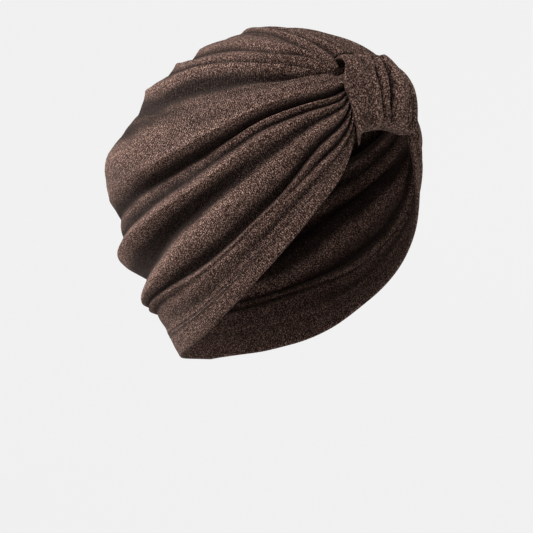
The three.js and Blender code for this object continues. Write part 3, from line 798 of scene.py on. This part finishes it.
BAND_FOLDS = (
    BandFold("right edge", -0.66, -0.96, -0.95, -0.6, 0, 0),
    BandFold("flat panel", -0.6, -0.9, -0.9, -0.55, 0.14, 0.3),
    BandFold("panel middle", -0.34, -0.6, -0.62, -0.38, 0.36, 0),
    BandFold("panel end", -0.06, -0.3, -0.32, -0.22, 0.6, 0.6),
    BandFold("first crease", 0, -0.2, -0.26, -0.14, 0.04, 0.7),
    BandFold("first fold", 0.05, -0.1, -0.18, -0.05, 0.56, 0.2),
    BandFold("first fold edge", 0.105, 0, -0.11, 0, 0.66, 0.6),
    BandFold("second crease", 0.14, 0.1, -0.04, 0.07, 0.1, 0.7),
    BandFold("roll", 0.21, 0.3, 0.16, 0.16, 1, 0),
    BandFold("roll edge", 0.29, 0.51, 0.4, 0.28, 0.96, 0.6),
    BandFold("third crease", 0.325, 0.6, 0.46, 0.335, 0.2, 0.7),
    BandFold("outer roll", 0.37, 0.68, 0.57, 0.39, 0.74, 0.2),
    BandFold("outer line", 0.41, 0.77, 0.68, 0.44, 0.3, 0.8),
    BandFold("outermost roll", 0.45, 0.9, 0.8, 0.49, 0.55, 0),
    BandFold("left edge", 0.5, 1, 0.92, 0.56, 0, 0),
)


@dataclass
class KnotBand:
    """The loop of gathered cloth round the front of the turban."""

    drape: Drape = Drape()
    half_width: float = Drape.band_half_width
    cloth: float = 2.5 * MM
    swell: float = 7 * MM
    end_swell: float = 0.55
    gap: float = 0.4 * MM
    wall_under: float = 2 * MM
    reach: float = 1.4
    leg_steps: int = 40
    arc_steps: int = 14
    fold_steps: int = 6
    edge_steps: int = 5
    inner_steps: int = 36
    ripple: float = 0.7 * MM
    # Reach and crease depth of the band's painted shade in its creases and painted highlight on its crests
    painted_shade_reach: int = 8
    darkest_crease_depth: float = 4.5 * MM

    def build(self, finish: HeatherJersey) -> bpy.types.Object:
        """Builds the band and dresses it.

        Args:
            finish: the jersey, as it looks on the band.
        Returns:
            The piece.
        """
        rounds = np.concatenate(
            [leg + np.linspace(0, 1, n, endpoint=False) for leg, n in enumerate(self._steps())]
        )
        across, rise = self._section(rounds)
        round_ = np.broadcast_to(rounds[:, None], across.shape)
        points, out = self._ring(across * self.half_width, round_)
        skin = points + out * rise[..., None]
        closed = np.concatenate([skin, skin[:1]], axis=0)
        closed = np.concatenate([closed, closed[:, :1]], axis=1)
        mesh = bmesh.new()
        columns, rows = closed.shape[:2]
        uv = mesh.loops.layers.uv.new("cloth")
        shade = mesh.verts.layers.float.new("painted_fold_shade")
        length = np.append(0, np.cumsum(np.linalg.norm(np.diff(closed[:, rows // 4], axis=0), axis=-1)))
        width = np.append(0, np.cumsum(np.linalg.norm(np.diff(closed[columns // 6], axis=0), axis=-1)))
        # Painted shade in the band's creases and a painted highlight on its crests, for the jersey's colour
        painted_fold_shade = painted_crease_shade(rise, self.painted_shade_reach, self.darkest_crease_depth, "wrap")
        for v in bmesh.ops.create_grid(mesh, x_segments=columns - 1, y_segments=rows - 1, size=1)["verts"]:
            i = round((v.co.x + 1) / 2 * (columns - 1))
            j = round((v.co.y + 1) / 2 * (rows - 1))
            v.co = closed[i, j]
            v[shade] = painted_fold_shade[i % painted_fold_shade.shape[0], j % painted_fold_shade.shape[1]]
            for loop in v.link_loops:
                loop[uv].uv = (width[j], length[i])
        bmesh.ops.remove_doubles(mesh, verts=mesh.verts[:], dist=SAME_PLACE)
        bmesh.ops.recalc_face_normals(mesh, faces=mesh.faces[:])
        return finish_piece(mesh, "knot_loop", finish.material())

    def _steps(self) -> tuple[int, int, int, int]:
        """Mesh steps down the front, under the foot, up the back and over the top."""
        return self.leg_steps, self.arc_steps, self.leg_steps, self.arc_steps

    def _section(self, rounds: np.ndarray) -> tuple[np.ndarray, np.ndarray]:
        """The band's closed section at each share of the way round.

        Args:
            rounds: 0 to 1 down the front, to 2 under the foot, to 3 up the back and to 4 over the top.
        Returns:
            Place across and height over the band's inner face, one row a share.
        """
        stations = (0, 0.5, 1, 2, 3, 4)
        places = [
            smooth_rows(stations, (fold.top, fold.front, fold.foot, fold.back, fold.back, fold.top))(rounds)
            for fold in BAND_FOLDS
        ]
        in_front = lerp(self.end_swell, 1, np.sin(math.pi * rounds))
        elsewhere = self.end_swell * np.maximum(0, np.cos(math.pi * (rounds - 1)))
        swell = np.where(rounds < 1, in_front, elsewhere)
        across, rise = [], []
        for k in range(len(BAND_FOLDS) - 1):
            t = np.linspace(0, 1, self.fold_steps, endpoint=False)[None, :]
            here, there = BAND_FOLDS[k], BAND_FOLDS[k + 1]
            shape = crisp_step(t, CRISP_SLOPE * here.crisp, CRISP_SLOPE * there.crisp)
            across.append(lerp(places[k][:, None], places[k + 1][:, None], t))
            rise.append(self.cloth + self.swell * swell[:, None] * lerp(here.swell, there.swell, shape))
            rise[-1] = rise[-1] + self._ripples(across[-1], rounds)
        turn = (np.arange(self.edge_steps) + 0.5) / self.edge_steps * math.pi
        bulge = 0.5 * self.cloth / self.half_width * np.sin(turn)[None, :]
        fall = self.cloth * (1 + np.cos(turn)[None, :]) / 2 * np.ones((len(rounds), 1))
        inner = np.linspace(0, 1, self.inner_steps)[None, :]
        first, last = places[0][:, None], places[-1][:, None]
        across += [last + bulge, lerp(last, first, inner), first - bulge[:, ::-1]]
        rise += [fall, np.zeros((len(rounds), self.inner_steps)), fall[:, ::-1]]
        return np.concatenate(across, axis=1), np.concatenate(rise, axis=1)

    def _ripples(self, across: np.ndarray, rounds: np.ndarray) -> np.ndarray:
        """Small gathers over the band's top and under its foot, as heights.

        Args:
            across: places across the band, one row a share of the way round.
            rounds: shares of the way round.
        Returns:
            One height a place.
        """
        whole_round, top_reach, foot_middle, foot_reach = 4, 0.28, 1.2, 0.35
        by_top = np.exp(-((np.minimum(rounds, whole_round - rounds) / top_reach) ** 2))
        by_foot = np.exp(-(((rounds - foot_middle) / foot_reach) ** 2))
        top = by_top[:, None] * np.sin(19 * across + 1.5 * np.sin(5 * across))
        return self.ripple * (top + 0.5 * by_foot[:, None] * np.sin(15 * across + 2))

    def _along_at(self, across: np.ndarray, down: np.ndarray) -> np.ndarray:
        """The share along a loop at which the gathered cloth lies at a place across."""
        shares = np.linspace(0, 1, 48)
        result = np.empty_like(across)
        for level in np.unique(down):
            end = self.drape.gather_share * lerp(1, self.reach, level)
            x = self.drape.base(shares * end, np.full_like(shares, level))[:, 0]
            here = down == level
            result[here] = np.interp(np.abs(across[here]), np.maximum.accumulate(x), shares * end)
        return result

    def _ring(self, across: np.ndarray, rounds: np.ndarray) -> tuple[np.ndarray, np.ndarray]:
        """Points of the band's inner face, and the way out of the band there.

        Args:
            across: distance across the band.
            rounds: share of the way round, 0 to 4.
        Returns:
            Points and unit directions.
        """
        station = self.drape.stations[0]
        gathered = [
            self.drape.fold_height * float(smooth_rows(self.drape.stations, fold.height)(np.array(station)))
            for fold in FOLDS
        ]
        high = max(gathered) + self.gap
        low = min(gathered) - self.wall_under - self.gap
        leg = np.floor(rounds).astype(int) % 4
        t = rounds - np.floor(rounds)
        down = np.choose(leg, [t, np.ones_like(t), 1 - t, np.zeros_like(t)])
        down = np.round(down, 6)
        side = np.where(across < 0, -1, 1)[..., None] * np.array([1, 0, 0]) + np.array([0, 1, 1])

        def place(level: np.ndarray, height: float) -> np.ndarray:
            """Points at places down and one height over the form."""
            return self.drape.place(self._along_at(across, level), level, np.full_like(level, height)) * side

        top, bottom = place(down, high), place(down, low)
        middle, radius = place(down, (high + low) / 2), (high - low) / 2
        out = top - bottom
        out /= np.linalg.norm(out, axis=-1, keepdims=True)
        beyond = middle - place(np.round(np.abs(down - 0.05), 6), (high + low) / 2)
        beyond -= out * (beyond * out).sum(-1, keepdims=True)
        beyond /= np.maximum(np.linalg.norm(beyond, axis=-1, keepdims=True), SAME_PLACE)
        angle = (math.pi * np.where(leg == 1, t, t - 1))[..., None]
        turned = out * np.cos(angle) + beyond * np.abs(np.sin(angle))
        on_arc = ((leg == 1) | (leg == 3))[..., None]
        behind = (leg == 2)[..., None]
        points = np.where(on_arc, middle + turned * radius, np.where(behind, bottom, top))
        return points, np.where(on_arc, turned, np.where(behind, -out, out))


@dataclass
class HemStitching:
    """The two rows of stitches that hold the turned hem."""

    drape: Drape = Drape()
    pitch: float = 2.9 * MM
    length: float = 2.3 * MM
    thread: float = 0.28 * MM
    proud: float = 0.1 * MM

    def build(self, finish: SewingThread) -> bpy.types.Object:
        """Builds both rows, on both sides of the turban.

        Args:
            finish: the thread.
        Returns:
            The piece.
        """
        hem_length, _ = self.drape.hem.pace(self.drape.form)
        count = int(hem_length * (1 - self.drape.opening_share) / self.pitch)
        along = np.linspace(self.drape.opening_share, 1, count + 1)
        height = smooth_rows(self.drape.stations, self.drape.strip_heights)(along)
        mesh = bmesh.new()
        for line in (row for row in HEM_ROWS if row.name in ("upper stitches", "lower stitches")):
            row = self.drape.place(along, self.drape.hem_place(along, line.distance), height + line.height + self.proud)
            for side in Side:
                points = row * np.array([side.value, 1, 1])
                for here, there in zip(points[:-1], points[1:]):
                    self._stitch(mesh, Vector(here), Vector(there))
        return finish_piece(mesh, "hem_stitching", finish.material())

    def _stitch(self, mesh: bmesh.types.BMesh, here: Vector, there: Vector) -> None:
        """Adds one stitch between two needle holes."""
        way = there - here
        turn = way.to_track_quat("Z", "Y").to_matrix().to_4x4()
        size = Matrix.Diagonal((self.thread, self.thread, self.length / 2, 1))
        place = Matrix.Translation((here + there) / 2) @ turn @ size
        bmesh.ops.create_uvsphere(mesh, u_segments=6, v_segments=5, radius=1, matrix=place)


@dataclass
class Studio:
    """A round pale sweep, soft lights and the camera at the photograph's angle."""

    floor_level: float = -1.35
    sweep_radius: float = 3.2
    sweep_bend: float = 1.2
    wall_height: float = 2.6
    sweep_steps: int = 64
    paper: str = "#f1f1f1"
    paper_glow: float = 0.9
    paper_tones: tuple = (0.118, 0.122)
    paper_roughness: float = 0.9
    sky: str = "#f2f4f5"
    sky_strength: float = 0.35
    azimuth: float = -49
    elevation: float = 2
    distance: float = 1.7
    view_width: float = 0.3305
    aim: Vector = field(default_factory=lambda: Vector((0, 0, -0.1449)))
    aim_shift: float = -0.9 * MM

    def build(self) -> None:
        """Makes the sweep, the lights, the surroundings and the camera."""
        self._sweep()
        self._world()
        self._light("key", azimuth=-80, elevation=56, distance=1.5, size=0.5, power=22)
        self._light("fill", azimuth=0, elevation=15, distance=1.8, size=1.0, power=4)
        self._light("rim", azimuth=-155, elevation=18, distance=1.5, size=0.6, power=36)
        self._camera()

    def direction(self, azimuth: float, elevation: float) -> Vector:
        """The way from the turban at an azimuth and elevation in degrees."""
        a, e = math.radians(azimuth), math.radians(elevation)
        return Vector((math.sin(a) * math.cos(e), -math.cos(a) * math.cos(e), math.sin(e)))

    def _sweep(self) -> None:
        """A pale floor that bends up into a wall all round."""
        mesh = bmesh.new()
        line = [
            (self.sweep_radius + self.sweep_bend * math.sin(bend), self.sweep_bend * (1 - math.cos(bend)))
            for bend in (math.radians(angle) for angle in range(0, 91, 15))
        ]
        line.append((self.sweep_radius + self.sweep_bend, self.wall_height))
        tip = bmesh.ops.create_vert(mesh, co=(0, 0, self.floor_level))["vert"][0]
        for out, up in line:
            tip = bmesh.ops.extrude_vert_indiv(mesh, verts=[tip])["verts"][0]
            tip.co = (out, 0, self.floor_level + up)
        bmesh.ops.spin(
            mesh,
            geom=mesh.verts[:] + mesh.edges[:],
            cent=(0, 0, 0),
            axis=(0, 0, 1),
            angle=2 * math.pi,
            steps=self.sweep_steps,
            use_merge=True,
        )
        bmesh.ops.remove_doubles(mesh, verts=mesh.verts[:], dist=SAME_PLACE)
        bmesh.ops.recalc_face_normals(mesh, faces=mesh.faces[:])
        bmesh.ops.reverse_faces(mesh, faces=mesh.faces[:])
        material = bpy.data.materials.new("pale_studio_paper")
        material.use_nodes = True
        tree = material.node_tree
        shader = tree.nodes["Principled BSDF"]
        place = add_node(tree, "ShaderNodeTexCoord").outputs["Object"]
        grain = add_node(tree, "ShaderNodeTexNoise", {"Vector": place, "Scale": 3}).outputs["Fac"]
        low, high = self.paper_tones
        tone = add_node(tree, "ShaderNodeMapRange", {"Value": grain, "To Min": low, "To Max": high}).outputs["Result"]
        tree.links.new(tone, shader.inputs["Base Color"])
        shader.inputs["Roughness"].default_value = self.paper_roughness
        shader.inputs["Specular IOR Level"].default_value = 0
        shader.inputs["Emission Color"].default_value = hex_colour(self.paper)
        shader.inputs["Emission Strength"].default_value = self.paper_glow
        finish_piece(mesh, "studio_sweep", material)

    def _world(self) -> None:
        """Even pale light from above the sweep."""
        world = bpy.data.worlds.new("soft_daylight")
        world.use_nodes = True
        background = world.node_tree.nodes["Background"]
        background.inputs["Color"].default_value = hex_colour(self.sky)
        background.inputs["Strength"].default_value = self.sky_strength
        bpy.context.scene.world = world

    def _light(self, name: str, azimuth: float, elevation: float, distance: float, size: float, power: float) -> None:
        """Adds one square soft box that faces the turban."""
        data = bpy.data.lights.new(name, "AREA")
        data.size = size
        data.energy = power
        lamp = bpy.data.objects.new(name, data)
        way = self.direction(azimuth, elevation)
        lamp.location = self.aim + way * distance
        lamp.rotation_euler = way.to_track_quat("Z", "Y").to_euler()
        bpy.context.scene.collection.objects.link(lamp)

    def _camera(self) -> None:
        """The camera at the photograph's angle."""
        data = bpy.data.cameras.new("camera")
        data.sensor_width = 36
        data.lens = data.sensor_width * self.distance / self.view_width
        camera = bpy.data.objects.new("camera", data)
        way = self.direction(self.azimuth, self.elevation)
        right = Vector((0, 0, 1)).cross(way).normalized()
        camera.location = self.aim + right * self.aim_shift + way * self.distance
        camera.rotation_euler = way.to_track_quat("Z", "Y").to_euler()
        bpy.context.scene.collection.objects.link(camera)
        bpy.context.scene.camera = camera


def main() -> None:
    """Builds the turban, its stitching and the studio, attaches each piece to the body, logs its faces and hides the
    imported wrap and band.
    """
    bpy.context.scene.view_settings.view_transform = "Standard"
    Studio().build()
    jersey = HeatherJersey()
    # On the band the ribs are shallower, with little painted shade in their furrows, and the flecks are coarser
    on_band = HeatherJersey(
        name="heather_jersey_of_the_knot", rib_depth=0.12 * MM, rib_painted_shade=0.04, fleck_size=0.95 * MM
    )
    wrap = DrapedWrap().build(jersey)
    band = KnotBand().build(on_band)
    stitches = HemStitching().build(SewingThread())
    for piece, slot in ((wrap, "wrap_jersey"), (band, "band_jersey"), (stitches, "wrap_jersey")):
        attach(piece, BODY)
        log.info("%s: %d faces", piece.name, len(piece.data.polygons))
    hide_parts("wrap_body")
    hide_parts("knot_band")


if __name__ == "__main__":
    main()
